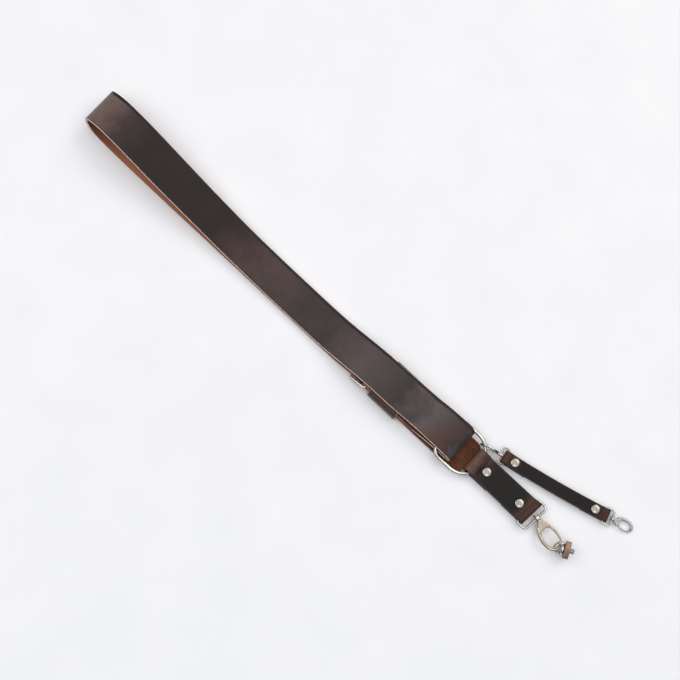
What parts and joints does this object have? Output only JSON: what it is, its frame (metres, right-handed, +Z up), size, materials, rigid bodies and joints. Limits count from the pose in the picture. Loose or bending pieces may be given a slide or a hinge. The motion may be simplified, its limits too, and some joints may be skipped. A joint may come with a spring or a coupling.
{
  "type": "camera shoulder strap",
  "caption": "Wide leather shoulder strap folded double in a loop, with a keeper sleeve and buckle, a D-ring, a snap hook with a tripod screw, and a safety strap.",
  "frame": {"origin": "middle of the bounding box at its bottom, on the table that the strap lies on", "axes": "+X runs along the folded strap from the open end of its loop to the hooks, +Y across it towards the safety strap's side, +Z up from the table"},
  "size_m": [0.6696, 0.086, 0.0324],
  "materials": {
    "dark_leather": "leather",
    "brown_leather": "leather",
    "tan_leather": "leather",
    "nickel": "chrome"
  },
  "bodies": {
    "strap": {"main_strap": "dark_leather", "keeper": "dark_leather", "buckle_frame": "nickel", "buckle_prong": "nickel", "ring": "nickel", "connector_strap": "brown_leather", "connector_rivet_near": "nickel", "connector_rivet_far": "nickel", "large_eye": "nickel", "safety_strap": "brown_leather", "safety_rivet_near": "nickel", "safety_rivet_far": "nickel", "upper_eye": "nickel", "lower_eye": "nickel"},
    "large_hook": {"large_hook": "nickel", "screw_bail": "nickel"},
    "large_gate": {"large_gate": "nickel"},
    "camera_screw": {"camera_screw": "nickel", "screw_washer": "tan_leather"},
    "lower_hook": {"lower_hook": "nickel"},
    "lower_gate": {"lower_gate": "nickel"},
    "upper_hook": {"upper_hook": "nickel"},
    "upper_gate": {"upper_gate": "nickel"}
  },
  "joints": [
    {"name": "large_swivel", "type": "hinge", "parent": "strap", "child": "large_hook", "pos_m": [0.25998, -0.01763, 0.0053], "axis": [0.9613, -0.2666, 0.0698], "continuous": true},
    {"name": "large_gate_pivot", "type": "hinge", "parent": "large_hook", "child": "large_gate", "pos_m": [0.2722, -0.01614, 0.00609], "axis": [0.0672, -0.0186, -0.9976], "range_deg": [0, 25], "stiffness_Nm_per_rad": 0.02, "springref_deg": -20.05},
    {"name": "screw_hinge", "type": "hinge", "parent": "large_hook", "child": "camera_screw", "pos_m": [0.29588, -0.02313, 0.00792], "axis": [-0.3879, 0.3708, 0.8438], "range_deg": [-6, 6]},
    {"name": "lower_swivel", "type": "hinge", "parent": "strap", "child": "lower_hook", "pos_m": [0.31368, 0.03277, 0.0032], "axis": [0.9575, 0.2818, -0.061], "continuous": true},
    {"name": "lower_gate_pivot", "type": "hinge", "parent": "lower_hook", "child": "lower_gate", "pos_m": [0.32127, 0.03197, 0.00277], "axis": [0.0586, 0.0172, 0.9981], "range_deg": [0, 25], "stiffness_Nm_per_rad": 0.006, "springref_deg": -20.05},
    {"name": "upper_swivel", "type": "hinge", "parent": "strap", "child": "upper_hook", "pos_m": [0.19448, 0.00327, 0.0066], "axis": [-0.9681, -0.2504, 0], "range_deg": [-10, 10]},
    {"name": "upper_gate_pivot", "type": "hinge", "parent": "upper_hook", "child": "upper_gate", "pos_m": [0.18764, 0.0015, 0.00369], "axis": [-0.2504, 0.9681, 0], "range_deg": [0, 6], "stiffness_Nm_per_rad": 0.006, "springref_deg": -20.05}
  ]
}
